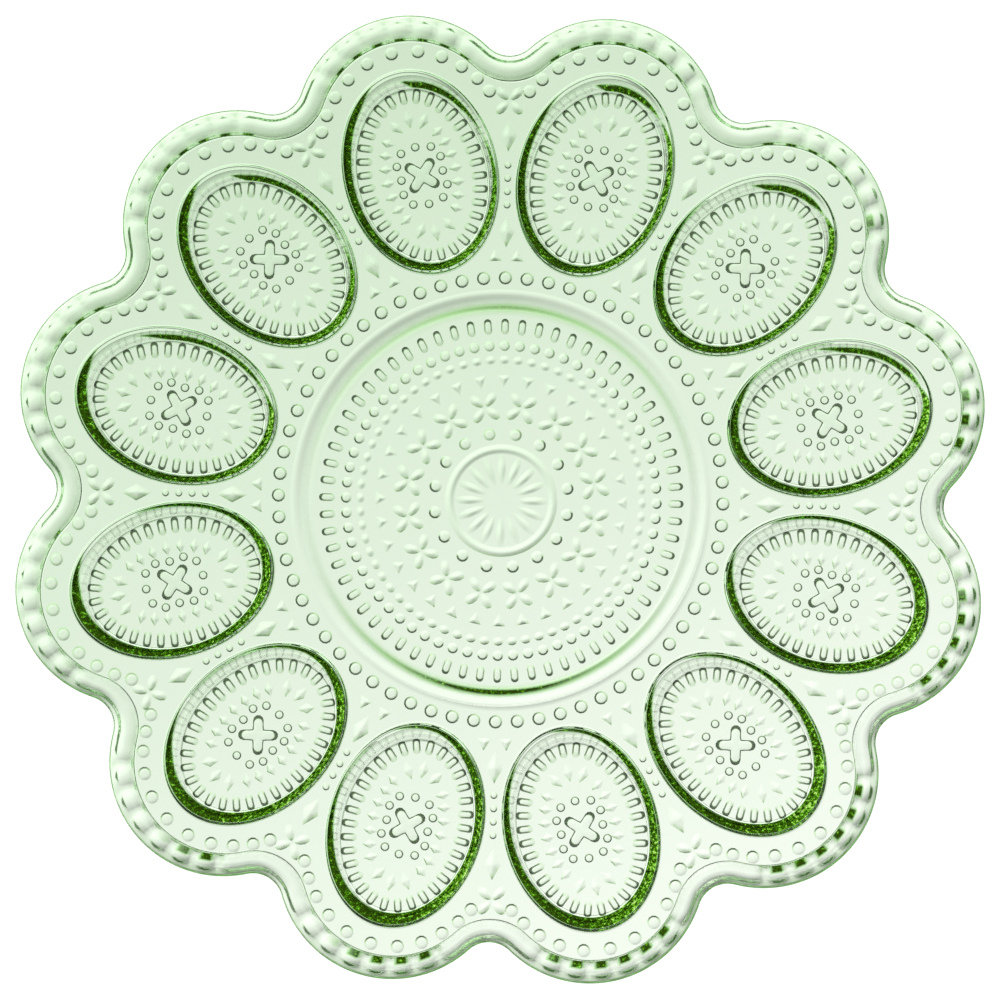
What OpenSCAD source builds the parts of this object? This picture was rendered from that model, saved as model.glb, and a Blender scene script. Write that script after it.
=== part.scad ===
// Deviled egg platter in pressed green glass: a shallow round well in the middle, a ring of oval
// egg cups round it and a scalloped rim that flares up with flutes on its outer face.
// The relief ornament stands on the underside, so that the top stays smooth.
// The platter rests on the foot rims of its cups at z = 0, and +Y points at a valley of the rim.

/* [Egg cups] */
// Number of egg cups, one in each scallop of the rim
cup_count = 12; // [10:1:16]
// Length of a cup at its lip, along a radius of the platter
cup_length = 66.3; // [60:0.1:72]
// Width of a cup at its lip
cup_width = 49.4; // [45:0.1:54]
// Depth of a cup below the deck
cup_depth = 13; // [10:0.5:18]
// Sideways run of the cup wall between its lip and its floor
cup_wall_run = 2.9; // [2:0.1:4]
// Thickness of the cup floor
cup_floor_t = 3.4; // [2.5:0.1:5]
// Rounding of the corner between cup floor and cup wall
cup_floor_round = 2; // [1:0.1:3]
// Rounding of the cup lip
cup_lip_round = 0.8; // [0.4:0.1:1.2]
// Width of the land round the lip that belongs to the cup
cup_land = 1.5; // [1.2:0.1:2]
// Height of the foot rim under a cup
foot_h = 1.6; // [1.3:0.1:3]
// Width of the foot rim
foot_w = 2.3; // [1.8:0.1:2.8]
// Ledge between the edge of the cup floor and the inside of the foot rim
foot_inset = 0.6; // [0.2:0.1:1]

/* [Deck] */
// Thickness of the deck between the cups
deck_t = 5; // [3.5:0.1:7]
// Width of the deck between the lip of the well and the cups
deck_inner_w = 7.75; // [7:0.05:12]
// Least width of the deck between the lips of two cups
web_w = 5.7; // [5:0.1:9]
// Width of the deck between a cup and the rim, at the tip of a scallop
tip_ledge = 9.45; // [9.2:0.05:14]
// Width of the deck between a cup and the rim, beside the cup
side_ledge = 4.8; // [4.5:0.1:8]

/* [Rim] */
// Width of the flared rim, seen from above
rim_band_w = 7.3; // [6:0.1:9]
// Height of the rim above the deck
rim_h = 8; // [5:0.5:12]
// Rounding of the rim's outer edge
rim_edge_round = 1; // [0.6:0.1:1.4]
// Radius of the hollow in the outline between two scallops
valley_round = 9.6; // [7:0.1:13]
// Number of flutes on each scallop
flute_count = 7; // [3:2:7]
// Angle between two flutes, about the middle of their scallop
flute_step = 14.3; // [14:0.1:16]
// Radius of the hollow of a flute
flute_r = 5; // [4:0.1:6]
// Depth of a flute where it starts under the deck
flute_depth = 1.2; // [0.6:0.1:1.4]

/* [Well] */
// Depth of the well below the deck
well_depth = 6; // [4:0.5:9]
// Thickness of the well floor
well_t = 5; // [4:0.1:6]
// Sideways run of the well's soft wall
well_wall_run = 7.8; // [6:0.1:12]
// Radius of the ring round the starburst, at the middle of its width
hub_ring_r = 16.7; // [14:0.1:20]
// Width of the ring round the starburst
hub_ring_w = 1.6; // [1:0.1:2.4]
// Number of rays, hub beads and well florets
ray_count = 16; // [8:4:16]
// Radius at which the rays of the starburst begin
ray_start_r = 5.5; // [4:0.1:8]
// Width of a ray at its outer end
ray_w = 3.2; // [2:0.1:4]
// Step from the ring to the hub beads
hub_bead_step = 5; // [4:0.1:7]
// Step from the hub beads to the florets
floret_step = 8.8; // [8:0.1:12]
// Step from the florets to the triangles
triangle_step = 8.8; // [8:0.1:12]
// Step from the triangles to the lens beads
lens_step = 6.2; // [5:0.1:9]
// Step from the lens beads to the round beads
bead_step = 4.6; // [3.5:0.1:7]
// Step from the round beads to the dashes
dash_step = 6.2; // [5.5:0.1:9]
// Number of dashes, round beads and lens beads in their rings
ring_count = 64; // [32:16:64]
// Margin between the dashes and the edge of the well floor
well_margin = 1.4; // [0.6:0.1:4]

/* [Relief] */
// Height of the relief above the glass that carries it
relief_h = 0.9; // [0.4:0.05:1.1]
// Length of a dash
dash_l = 5.4; // [4:0.1:6]
// Width of a dash
dash_w = 2.3; // [1.9:0.1:2.8]
// Number of dashes round a cup floor
cup_dash_count = 32; // [16:2:32]
// Margin between the dashes of a cup and its foot rim
cup_dash_margin = 0.8; // [0.3:0.1:1.5]
// Length of a lozenge on a cup floor
cup_lozenge_l = 4.6; // [3:0.1:5]
// Width of a lozenge on a cup floor
cup_lozenge_w = 2.7; // [2:0.1:2.8]
// Step from the middles of a cup's dashes in to the middles of its lozenges
cup_lozenge_step = 7.6; // [6.8:0.1:8]
// Reach of an arm of the cross in a cup, from the cross's middle
cross_reach = 7; // [6:0.1:7.2]
// Width of an arm of the cross
cross_arm_w = 3.2; // [2.4:0.1:3.4]
// Radius of a bead on a cup floor
cup_bead_r = 1.4; // [0.8:0.05:1.5]
// Radius of a bead along the rim and round the well
bead_r = 2; // [1.4:0.05:2.1]
// Radius of a bead on the well floor
well_bead_r = 1.7; // [1.2:0.05:1.9]
// Radius of a dot between two cups
dot_r = 1.1; // [0.7:0.05:1.3]
// Length of a floret's petal
petal_l = 4.6; // [3.5:0.1:5]
// Width of a floret's petal
petal_w = 2.2; // [1.6:0.1:2.6]
// Length of a lozenge between two cups
deck_lozenge_l = 9; // [7:0.1:9.5]
// Width of a lozenge between two cups
deck_lozenge_w = 4.6; // [3.5:0.1:5]
// Reach of a triangle from its middle to its corners
triangle_reach = 2.1; // [1.4:0.1:2.4]

/* [Hidden] */
$fn = 64;
glass = [0.66, 0.86, 0.6];
glass_deep = [0.4, 0.66, 0.22];
glass_relief = [0.55, 0.78, 0.45];

// Levels, from the table up
cup_floor_z = foot_h + cup_floor_t;
deck_z = cup_floor_z + cup_depth;
deck_under_z = deck_z - deck_t;
well_floor_z = deck_z - well_depth;
well_under_z = well_floor_z - well_t;
rim_top_z = deck_z + rim_h;

// Half sizes of a cup, along its width. Its length is longer by cup_stretch.
cup_stretch = cup_length / cup_width;
lip_half = cup_width / 2;
land_half = lip_half + cup_land;
floor_half = lip_half - cup_wall_run;
foot_in_half = floor_half + foot_inset;
foot_out_half = foot_in_half + foot_w;

// Rings of the well, from the middle out
hub_bead_ring_r = hub_ring_r + hub_bead_step;
floret_ring_r = hub_bead_ring_r + floret_step;
triangle_ring_r = floret_ring_r + triangle_step;
lens_ring_r = triangle_ring_r + lens_step;
bead_ring_r = lens_ring_r + bead_step;
dash_ring_r = bead_ring_r + dash_step;
well_floor_r = dash_ring_r + dash_l / 2 + well_margin;
well_lip_r = well_floor_r + well_wall_run;
deck_bead_gap = 3.4;
deck_bead_ring_r = well_lip_r + deck_bead_gap;

// The ring of cups clears the well, and each cup clears its neighbours
cup_turn = 360 / cup_count;
half_turn = cup_turn / 2;
lip_reach = norm([cup_length / 2 * sin(half_turn), cup_width / 2 * cos(half_turn)]);
cup_ring_r = max(well_lip_r + deck_inner_w + cup_length / 2, (lip_reach + web_w / 2) / sin(half_turn));

// Outline of the rim: a round scallop about lobe_ring_r and a round hollow about valley_ring_r
lobe_r = cup_width / 2 + side_ledge + rim_band_w;
tip_r = cup_ring_r + cup_length / 2 + tip_ledge + rim_band_w;
lobe_ring_r = tip_r - lobe_r;
valley_aside = lobe_ring_r * sin(half_turn);
valley_ahead = sqrt(pow(lobe_r + valley_round, 2) - pow(valley_aside, 2));
valley_ring_r = lobe_ring_r * cos(half_turn) + valley_ahead;
valley_arc = atan2(valley_aside, valley_ahead);
lobe_arc = half_turn + valley_arc;
deck_lobe_r = lobe_r - rim_band_w;
deck_valley_r = valley_round + rim_band_w;

// Ornament between two cups, as steps along the radius from the ring of cups
floret_out = 19.9;
outer_lozenge_out = 8.4;
dots_in = 7.45;
dot_count = 4;
dot_step = 4.3;
inner_lozenge_in = 22.6;
triangles_in = 30.7;
triangles_apart = 7.2;

// Beads along the rim lie on an oval round the cup and draw closer towards the valleys
rim_bead_end_gap = 6.3;
rim_bead_side_gap = 7.7;
rim_beads_aside = 5;
rim_bead_turn = 12.95;
rim_bead_squeeze = 0.42;

// Ornament of a cup floor, which is drawn for one width inside the foot rim and grows with that width.
// Beads are [across, along] in one quarter of the floor.
drawn_foot_in_half = 22.4;
floor_share = foot_in_half / drawn_foot_in_half;
cup_bead_places = [[0, 9.5], [5, 8.5], [7.3, 4.7], [6.9, 0]];
end_lozenge_turn = 24;
side_lozenge_turn = 14.2;
side_lozenges_aside = 3;
dash_oval_inset = floor_share * (cup_dash_margin + dash_l / 2);
dash_oval = [foot_in_half * cup_stretch - dash_oval_inset, foot_in_half - dash_oval_inset];
lozenge_oval = dash_oval - floor_share * [cup_lozenge_step, cup_lozenge_step];

// Sizes of small motifs in the well
lens_bead_l = 2.8;
lens_bead_w = 1.6;
hub_bead_r = 1.9;
ray_inner_w = 1;
ray_gap = 0.5;
petal_out = 0.35;

// Steps of the drawn curves, and the angle of one step on a rounded corner
curve_steps = 8;
arc_steps = 120;
corner_step = 30;
floor_corner_step = 22.5;
// Spare length of a cutting shape
spare = 3;

function cup_name(i) = str("egg_cup_", i < 10 ? "0" : "", i);
function web_name(i) = str("deck_web_", i < 10 ? "0" : "", i);
function scallop_name(i) = str("scallop_", i < 10 ? "0" : "", i);

// Direction at an angle clockwise from +Y
function toward(a) = [sin(a), cos(a)];

// Radius of the ball whose cap has base radius a and height h
function ball_r(a, h) = (a * a + h * h) / (2 * h);

// Soft step from 0 to 1
function soft(t) = (1 - cos(180 * t)) / 2;

// Point of an oval [along, across] at parameter t, which starts on +Y
function on_oval(oval, t) = [oval[1] * sin(t), oval[0] * cos(t)];

// Point of an oval [along, across] seen from its middle at angle a
function seen_on_oval(oval, a) = toward(a) / norm([cos(a) / oval[0], sin(a) / oval[1]]);

// Outward direction of an oval at parameter t, as an angle clockwise from +Y
function oval_outward(oval, t) = atan2(sin(t) / oval[1], cos(t) / oval[0]);

// Pairs of [share of the way round, parameter] along an oval
function oval_way(oval) =
    [for (i = 0, s = 0; i <= arc_steps;
          s = s + norm(on_oval(oval, 360 * (i + 1) / arc_steps) - on_oval(oval, 360 * i / arc_steps)),
          i = i + 1) [s, 360 * i / arc_steps]];

// Parameters of n points at even steps along an oval
function even_on_oval(oval, n) =
    let (way = oval_way(oval), length = way[arc_steps][0])
    [for (i = [0 : n - 1]) lookup(length * i / n, way)];

// Places its children on the axis of cup i
module at_cup(i) {
    rotate([0, 0, -half_turn - cup_turn * (i - 1)])
        translate([0, cup_ring_r, 0])
            children();
}

// Copies its children to every cup
module at_each_cup() {
    for (i = [1 : cup_count])
        at_cup(i) children();
}

// Copies its children to every valley, on the +Y axis of each copy
module at_each_valley() {
    for (i = [0 : cup_count - 1])
        rotate([0, 0, -cup_turn * i]) children();
}

// Copies its children n times round a circle, from a first angle
module in_ring(n, r, first = 0) {
    for (i = [0 : n - 1])
        rotate([0, 0, -first - 360 * i / n])
            translate([0, r, 0])
                children();
}

// Keeps what hangs below z = 0
module hanging(reach) {
    intersection() {
        children();
        translate([-reach, -reach, -reach])
            cube([2 * reach, 2 * reach, reach]);
    }
}

// Round bead of base radius a that hangs from z = 0
module bead(a) {
    hanging(2 * a)
        translate([0, 0, ball_r(a, relief_h) - relief_h])
            sphere(ball_r(a, relief_h));
}

// Leaf with two pointed ends, l long along Y and w wide along X
module leaf(l, w) {
    r = ball_r(l / 2, w / 2);
    translate([0, 0, -relief_h])
        linear_extrude(relief_h)
            intersection() {
                translate([r - w / 2, 0]) circle(r);
                translate([w / 2 - r, 0]) circle(r);
            }
}

// Half-round bar with round ends along Y
module bar(l, w) {
    r = ball_r(w / 2, relief_h);
    straight = l - w;
    hanging(l)
        translate([0, 0, r - relief_h])
            rotate([90, 0, 0])
                rotate_extrude()
                    intersection() {
                        union() {
                            translate([-r, -straight / 2])
                                square([2 * r, straight]);
                            for (side = [-1, 1])
                                translate([0, side * straight / 2]) circle(r);
                        }
                        translate([0, -l])
                            square([l, 2 * l]);
                    }
}

// Four-sided point, l long along Y and w wide along X
module lozenge(l, w) {
    mirror([0, 0, 1])
        scale([w / l, 1, 1])
            cylinder(h = relief_h, r1 = l / 2, r2 = 0, $fn = 4);
}

// Three-sided point with a corner towards +Y
module triangle() {
    mirror([0, 0, 1])
        rotate([0, 0, 90])
            cylinder(h = relief_h, r1 = triangle_reach, r2 = 0, $fn = 3);
}

// Floret of four petals set crosswise to the radius
module floret() {
    for (i = [0 : 3])
        rotate([0, 0, 45 + 90 * i])
            translate([0, petal_l / 2 + petal_out, 0])
                leaf(petal_l, petal_w);
}

// Shallow round well: flat floor, soft wall and a lip at the level of the deck
module center_well() {
    top = [for (i = [0 : curve_steps])
        [well_floor_r + well_wall_run * i / curve_steps, well_floor_z + well_depth * soft(i / curve_steps)]];
    under = [for (i = [curve_steps : -1 : 0])
        [well_floor_r + well_wall_run * i / curve_steps,
         well_under_z + (deck_under_z - well_under_z) * soft(i / curve_steps)]];
    color(glass)
        rotate_extrude()
            polygon(concat([[0, well_floor_z]], top, under, [[0, well_under_z]]));
}

// Oval egg cup with a foot rim, a drafted wall and a rounded lip, made of four stretched quarters
module egg_cup(i) {
    lip_arc = [for (a = [0 : corner_step : 90])
        [lip_half + cup_lip_round * (1 - sin(a)), deck_z - cup_lip_round * (1 - cos(a))]];
    floor_arc = [for (a = [0 : floor_corner_step : 90])
        [floor_half - cup_floor_round * (1 - cos(a)), cup_floor_z + cup_floor_round * (1 - sin(a))]];
    section = concat(
        [[0, foot_h], [foot_in_half, foot_h], [foot_in_half, 0], [foot_out_half, 0],
         [land_half, deck_under_z], [land_half, deck_z]],
        lip_arc, floor_arc, [[0, cup_floor_z]]);
    color(glass_deep)
        at_cup(i)
            for (quarter = [0 : 3])
                scale([1, cup_stretch, 1])
                    rotate([0, 0, 90 * quarter])
                        rotate_extrude(angle = 90)
                            polygon(section);
}

// Flat web of the deck between two cups, from the well out to the valley of the rim
module deck_web(i) {
    color(glass)
        rotate([0, 0, -cup_turn * (i - 1)])
            translate([0, 0, deck_under_z])
                linear_extrude(deck_t)
                    difference() {
                        polygon([[0, 0], lobe_ring_r * toward(-half_turn), [0, valley_ring_r],
                                 lobe_ring_r * toward(half_turn)]);
                        translate([0, valley_ring_r]) circle(deck_valley_r);
                        circle(well_lip_r);
                        for (side = [-1, 1])
                            rotate(-side * half_turn)
                                translate([0, cup_ring_r])
                                    scale([1, cup_stretch])
                                        circle(land_half);
                    }
}

// Upper side of the rim as [distance in from the outline, height]: it rises from the deck and flares out
function rim_curve() = concat(
    [for (i = [0 : curve_steps])
        [rim_edge_round + (rim_band_w - rim_edge_round) * cos(90 * i / curve_steps),
         deck_z + rim_h * sin(90 * i / curve_steps)]],
    [for (a = [corner_step : corner_step : 90])
        [rim_edge_round * (1 - sin(a)), rim_top_z - rim_edge_round * (1 - cos(a))]]);

// Hollow of one flute, which fades out at the rim's edge
module flute() {
    low = [deck_lobe_r, deck_under_z];
    high = [lobe_r, rim_top_z - rim_edge_round];
    along = (high - low) / norm(high - low);
    outward = [along[1], -along[0]];
    start = low + outward * (flute_r - flute_depth);
    end = high + outward * flute_r;
    run = end - start;
    translate([0, start[0], start[1]])
        rotate([-atan2(run[0], run[1]), 0, 0])
            translate([0, 0, -spare])
                cylinder(h = norm(run) + spare, r = flute_r);
}

// One scallop: the end of the deck beyond a cup, with its fluted rim
module scallop(i) {
    section = concat([[lobe_r, deck_z]], rim_curve(), [[rim_band_w, deck_under_z], [lobe_r, deck_under_z]]);
    color(glass)
        rotate([0, 0, -half_turn - cup_turn * (i - 1)])
            difference() {
                translate([0, lobe_ring_r, 0])
                    rotate([0, 0, 90 - lobe_arc])
                        rotate_extrude(angle = 2 * lobe_arc)
                            polygon([for (p = section) [lobe_r - p[0], p[1]]]);
                translate([0, lobe_ring_r, 0])
                    for (k = [0 : flute_count - 1])
                        rotate([0, 0, flute_step * (k - (flute_count - 1) / 2)])
                            flute();
                translate([0, cup_ring_r, deck_under_z - spare])
                    scale([1, cup_stretch, 1])
                        cylinder(h = deck_t + 2 * spare, r = land_half);
            }
}

// Plain rim round the hollows between the scallops
module rim_valleys() {
    section = concat([[rim_band_w, deck_under_z]], rim_curve());
    color(glass)
        at_each_valley()
            translate([0, valley_ring_r, 0])
                rotate([0, 0, -90 - valley_arc])
                    rotate_extrude(angle = 2 * valley_arc)
                        polygon([for (p = section) [valley_round + p[0], p[1]]]);
}

// Ring round the starburst
module hub_ring() {
    r = ball_r(hub_ring_w / 2, relief_h);
    color(glass_relief)
        translate([0, 0, well_under_z])
            rotate_extrude()
                intersection() {
                    translate([hub_ring_r, r - relief_h]) circle(r);
                    translate([0, -relief_h - spare])
                        square([hub_ring_r + hub_ring_w, relief_h + spare]);
                }
}

// Rays of the starburst, which widen outwards
module hub_rays() {
    end_r = hub_ring_r - hub_ring_w / 2 - ray_gap;
    color(glass_relief)
        translate([0, 0, well_under_z])
            in_ring(ray_count, 0)
                translate([0, 0, -relief_h])
                    linear_extrude(relief_h)
                        polygon([[-ray_inner_w / 2, ray_start_r], [ray_inner_w / 2, ray_start_r],
                                 [ray_w / 2, end_r], [-ray_w / 2, end_r]]);
}

// Beads round the starburst, between the rays
module hub_beads() {
    color(glass_relief)
        translate([0, 0, well_under_z])
            in_ring(ray_count, hub_bead_ring_r, 180 / ray_count)
                bead(hub_bead_r);
}

// Florets of the well
module well_florets() {
    color(glass_relief)
        translate([0, 0, well_under_z])
            in_ring(ray_count, floret_ring_r, 180 / ray_count)
                floret();
}

// Triangles of the well, which point at its middle
module well_triangles() {
    color(glass_relief)
        translate([0, 0, well_under_z])
            in_ring(2 * ray_count, triangle_ring_r)
                rotate([0, 0, 180])
                    triangle();
}

// Narrow beads of the well, set across the radius
module well_lens_beads() {
    color(glass_relief)
        translate([0, 0, well_under_z])
            in_ring(ring_count, lens_ring_r)
                rotate([0, 0, 90])
                    leaf(lens_bead_l, lens_bead_w);
}

// Round beads of the well
module well_beads() {
    color(glass_relief)
        translate([0, 0, well_under_z])
            in_ring(ring_count, bead_ring_r)
                bead(well_bead_r);
}

// Dashes along the edge of the well floor
module well_dashes() {
    color(glass_relief)
        translate([0, 0, well_under_z])
            in_ring(ring_count, dash_ring_r)
                bar(dash_l, dash_w);
}

// Beads on the deck round the lip of the well
module deck_beads() {
    color(glass_relief)
        translate([0, 0, deck_under_z])
            in_ring(ring_count, deck_bead_ring_r)
                bead(bead_r);
}

// Beads along the rim, on an oval round each cup
module rim_beads() {
    oval = [cup_length / 2 + rim_bead_end_gap, cup_width / 2 + rim_bead_side_gap];
    color(glass_relief)
        translate([0, 0, deck_under_z])
            at_each_cup()
                for (j = [-rim_beads_aside : rim_beads_aside])
                    translate(seen_on_oval(oval, rim_bead_turn * j - rim_bead_squeeze * j * abs(j)))
                        bead(bead_r);
}

// Florets at the outer end of the webs
module deck_florets() {
    color(glass_relief)
        translate([0, 0, deck_under_z])
            at_each_valley()
                translate([0, cup_ring_r + floret_out, 0])
                    floret();
}

// Lozenges on the webs, outside and inside the dots
module deck_lozenges() {
    color(glass_relief)
        translate([0, 0, deck_under_z])
            at_each_valley()
                for (out = [outer_lozenge_out, -inner_lozenge_in])
                    translate([0, cup_ring_r + out, 0])
                        lozenge(deck_lozenge_l, deck_lozenge_w);
}

// Row of dots at the narrowest place of each web
module deck_dots() {
    color(glass_relief)
        translate([0, 0, deck_under_z])
            at_each_valley()
                for (k = [0 : dot_count - 1])
                    translate([0, cup_ring_r - dots_in + dot_step * (k - (dot_count - 1) / 2), 0])
                        bead(dot_r);
}

// Pair of triangles at the inner end of each web, which point outwards
module deck_triangles() {
    color(glass_relief)
        translate([0, 0, deck_under_z])
            at_each_valley()
                for (side = [-1, 1])
                    translate([side * triangles_apart / 2, cup_ring_r - triangles_in, 0])
                        triangle();
}

// Dashes round each cup floor, at even steps along an oval and square to it
module cup_dashes() {
    color(glass_relief)
        translate([0, 0, foot_h])
            at_each_cup()
                for (t = even_on_oval(dash_oval, cup_dash_count))
                    translate(on_oval(dash_oval, t))
                        rotate([0, 0, -oval_outward(dash_oval, t)])
                            bar(floor_share * dash_l, floor_share * dash_w);
}

// Lozenges round each cup floor: three at each end and the rest along the sides
module cup_lozenges() {
    ends = [for (end = [0, 180], k = [-1 : 1]) end + end_lozenge_turn * k];
    sides = [for (end = [90, 270], k = [-side_lozenges_aside : side_lozenges_aside])
        end + side_lozenge_turn * k];
    color(glass_relief)
        translate([0, 0, foot_h])
            at_each_cup()
                for (t = concat(ends, sides))
                    translate(on_oval(lozenge_oval, t))
                        rotate([0, 0, -oval_outward(lozenge_oval, t)])
                            lozenge(floor_share * cup_lozenge_l, floor_share * cup_lozenge_w);
}

// Beads round the cross of each cup
module cup_beads() {
    places = [for (p = cup_bead_places, sx = p[0] == 0 ? [1] : [-1, 1], sy = p[1] == 0 ? [1] : [-1, 1])
        floor_share * [sx * p[0], sy * p[1]]];
    color(glass_relief)
        translate([0, 0, foot_h])
            at_each_cup()
                for (p = places)
                    translate(p) bead(floor_share * cup_bead_r);
}

// Cross with round ends in the middle of each cup
module cup_crosses() {
    reach = floor_share * cross_reach;
    arm_w = floor_share * cross_arm_w;
    color(glass_relief)
        translate([0, 0, foot_h - relief_h])
            at_each_cup()
                linear_extrude(relief_h)
                    for (turn = [45, -45])
                        rotate(turn)
                            union() {
                                square([2 * reach - arm_w, arm_w], center = true);
                                for (side = [-1, 1])
                                    translate([side * (reach - arm_w / 2), 0])
                                        circle(arm_w / 2);
                            }
}

center_well();
rim_valleys();
for (i = [1 : cup_count]) {
    egg_cup(i);
    deck_web(i);
    scallop(i);
}
hub_ring();
hub_rays();
hub_beads();
well_florets();
well_triangles();
well_lens_beads();
well_beads();
well_dashes();
deck_beads();
rim_beads();
deck_florets();
deck_lozenges();
deck_dots();
deck_triangles();
cup_dashes();
cup_lozenges();
cup_beads();
cup_crosses();
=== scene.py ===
import math

import bpy
import numpy as np
from mathutils import Matrix, Vector


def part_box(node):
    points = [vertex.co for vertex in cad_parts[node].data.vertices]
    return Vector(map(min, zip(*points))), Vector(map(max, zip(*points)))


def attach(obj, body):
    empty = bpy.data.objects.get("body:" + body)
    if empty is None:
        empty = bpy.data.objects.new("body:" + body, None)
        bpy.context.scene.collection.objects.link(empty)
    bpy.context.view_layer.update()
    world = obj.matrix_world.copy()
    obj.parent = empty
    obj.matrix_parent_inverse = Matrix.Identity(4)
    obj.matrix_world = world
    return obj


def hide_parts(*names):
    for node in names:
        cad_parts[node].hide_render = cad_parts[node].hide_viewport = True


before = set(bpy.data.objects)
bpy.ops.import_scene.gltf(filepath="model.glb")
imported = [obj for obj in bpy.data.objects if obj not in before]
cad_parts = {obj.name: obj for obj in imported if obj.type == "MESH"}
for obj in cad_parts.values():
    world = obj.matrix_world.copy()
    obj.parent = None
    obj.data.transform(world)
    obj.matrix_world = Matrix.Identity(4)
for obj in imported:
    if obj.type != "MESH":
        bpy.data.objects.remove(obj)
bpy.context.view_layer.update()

# Shapes are worked out in millimetres, and make_piece writes them in metres. The floor and the lamp are
# placed in metres.
MM = 0.001

# Levels of the glass, read from the solids where they show them
DECK_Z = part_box("deck_web_01")[1].z / MM
DECK_UNDER_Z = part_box("deck_web_01")[0].z / MM
RIM_TOP_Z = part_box("scallop_01")[1].z / MM
WELL_UNDER_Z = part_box("center_well")[0].z / MM
WELL_LIP_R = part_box("center_well")[1].x / MM
CUP_UNDER_Z = 1.6
CUP_FLOOR_Z = 5.0
WELL_FLOOR_Z = 12.0
WELL_FLOOR_R = WELL_LIP_R - 7.8

# The ring of cups, with half widths of a cup from its lip down
CUP_COUNT = 12
CUP_TURN = math.radians(360 / CUP_COUNT)
HALF_TURN = CUP_TURN / 2
CUP_RING_R = 109.1
STRETCH = 66.3 / 49.4
LIP_HALF = 24.0
LIP_ROUND = 0.5
CORNER_HALF = 21.6
CORNER_ROUND = 0.6
FILLET_HALF = 24.8
FILLET_ROUND = 0.5
FOOT_OUT_HALF = 22.7
FOOT_OUT_ROUND = 0.7
FOOT_IN_HALF = 20.9
FOOT_IN_ROUND = 0.6
FOOT_ROOT_ROUND = 0.2

# Outline of the rim: scallops of one radius joined by hollows of another
RIM_BAND = 7.3
RIM_NOSE = 1.0
RIM_THICK = [1.5, 2.3, 3.0, 3.0, 2.0]
LOBE_R = 36.8
LOBE_RING_R = 122.2
VALLEY_R = 9.6
VALLEY_ASIDE = LOBE_RING_R * math.sin(HALF_TURN)
VALLEY_AHEAD = math.sqrt((LOBE_R + VALLEY_R) ** 2 - VALLEY_ASIDE ** 2)
VALLEY_RING_R = LOBE_RING_R * math.cos(HALF_TURN) + VALLEY_AHEAD
VALLEY_ARC = math.atan2(VALLEY_ASIDE, VALLEY_AHEAD)
LOBE_ARC = HALF_TURN + VALLEY_ARC
FLUTE_STEP = math.radians(14.3)
FLUTE_DEPTH = 1.0

# Steps of the glass shell's grid along half a sector: scallop, hollow, web and well
FLUTE_PARTS = 6
LOBE_STEPS = 4 * FLUTE_PARTS + 1
VALLEY_STEPS = 8
WEB_STEPS = 20
WELL_STEPS = 8

# Relief: depth to which each motif is sunk into the glass, counts round the well, and the ring of its hub
SUNK = 0.02
RING_COUNT = 64
RAY_COUNT = 16
HUB_RING_R = 16.7
HUB_RING_HALF = 1.5
HUB_RING_HEIGHT = 0.44
HUB_RING_STEPS = 64

# Direction of the soft light in plan
SUNNY = np.array([0.42, -0.91])

# Painted shade, a dark green band on the walls of the cups set by where they face: compass direction of the
# wall, and where the band starts and ends between lip and floor, for the cups at the back of the platter and
# at its front
BACK_BAND = np.array([[0, 0.55, 0.95], [20, 0.5, 0.9], [45, 0.45, 0.8], [65, 0.45, 0.5], [85, 0, 0.5],
                      [105, -0.1, 0.74], [135, -0.1, 0.8], [180, -0.1, 0.78], [225, -0.1, 0.76],
                      [270, -0.1, 0.68], [300, -0.1, 0.45], [318, -0.1, 0.1], [330, -0.1, -0.1],
                      [345, 0.5, 0.5], [360, 0.55, 0.95]])
FRONT_BAND = np.array([[0, -0.1, 0.28], [20, -0.1, 0.34], [40, -0.1, 0.5], [65, -0.1, 0.74],
                       [85, -0.1, 0.86], [105, -0.1, 0.88], [135, -0.1, 0.95], [180, -0.1, 0.93],
                       [225, -0.1, 0.8], [270, -0.1, 0.55], [295, -0.1, 0.2], [310, -0.1, -0.1],
                       [325, -0.1, -0.1], [345, -0.1, 0.2], [360, -0.1, 0.28]])

# Painted shade, a green line at the foot of the well's wall: its strength by compass direction, and its fall
# along the radius
LINE_COMPASS = np.array([[0, 0.9], [30, 0.5], [90, 0], [115, 0.1], [150, 0.7], [180, 1.5], [210, 0.7],
                         [245, 0.1], [270, 0], [330, 0.5], [360, 0.9]])
LINE_RADIUS = np.array([[60, 0], [61, 0.9], [62, 1], [63.8, 0]])


def ease(low, high, value):
    """Smooth step from zero at low to one at high."""
    way = np.clip((value - low) / (high - low), 0, 1)
    return way * way * (3 - 2 * way)


def arc_points(middle, radius, first, last, steps):
    """Arc in a section plane: middle + radius * (cos a, sin a) for even angles in degrees."""
    a = np.radians(np.linspace(first, last, steps + 1))
    return np.stack([middle[0] + radius * np.cos(a), middle[1] + radius * np.sin(a)], 1)


def turned(points, angle):
    """Points turned clockwise about the platter's axis."""
    c = math.cos(angle)
    s = math.sin(angle)
    out = points.copy()
    out[..., 0] = points[..., 0] * c + points[..., 1] * s
    out[..., 1] = points[..., 1] * c - points[..., 0] * s
    return out


def lobe_angles():
    """Angles along half a scallop: even steps within each flute, then the end of the scallop."""
    return np.append(FLUTE_STEP / FLUTE_PARTS * np.arange(LOBE_STEPS), LOBE_ARC)


def valley_angles():
    """Angles along half a hollow, from the end of the scallop to the middle of the hollow."""
    return np.linspace(VALLEY_ARC, 0, VALLEY_STEPS + 1)[1:]


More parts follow.
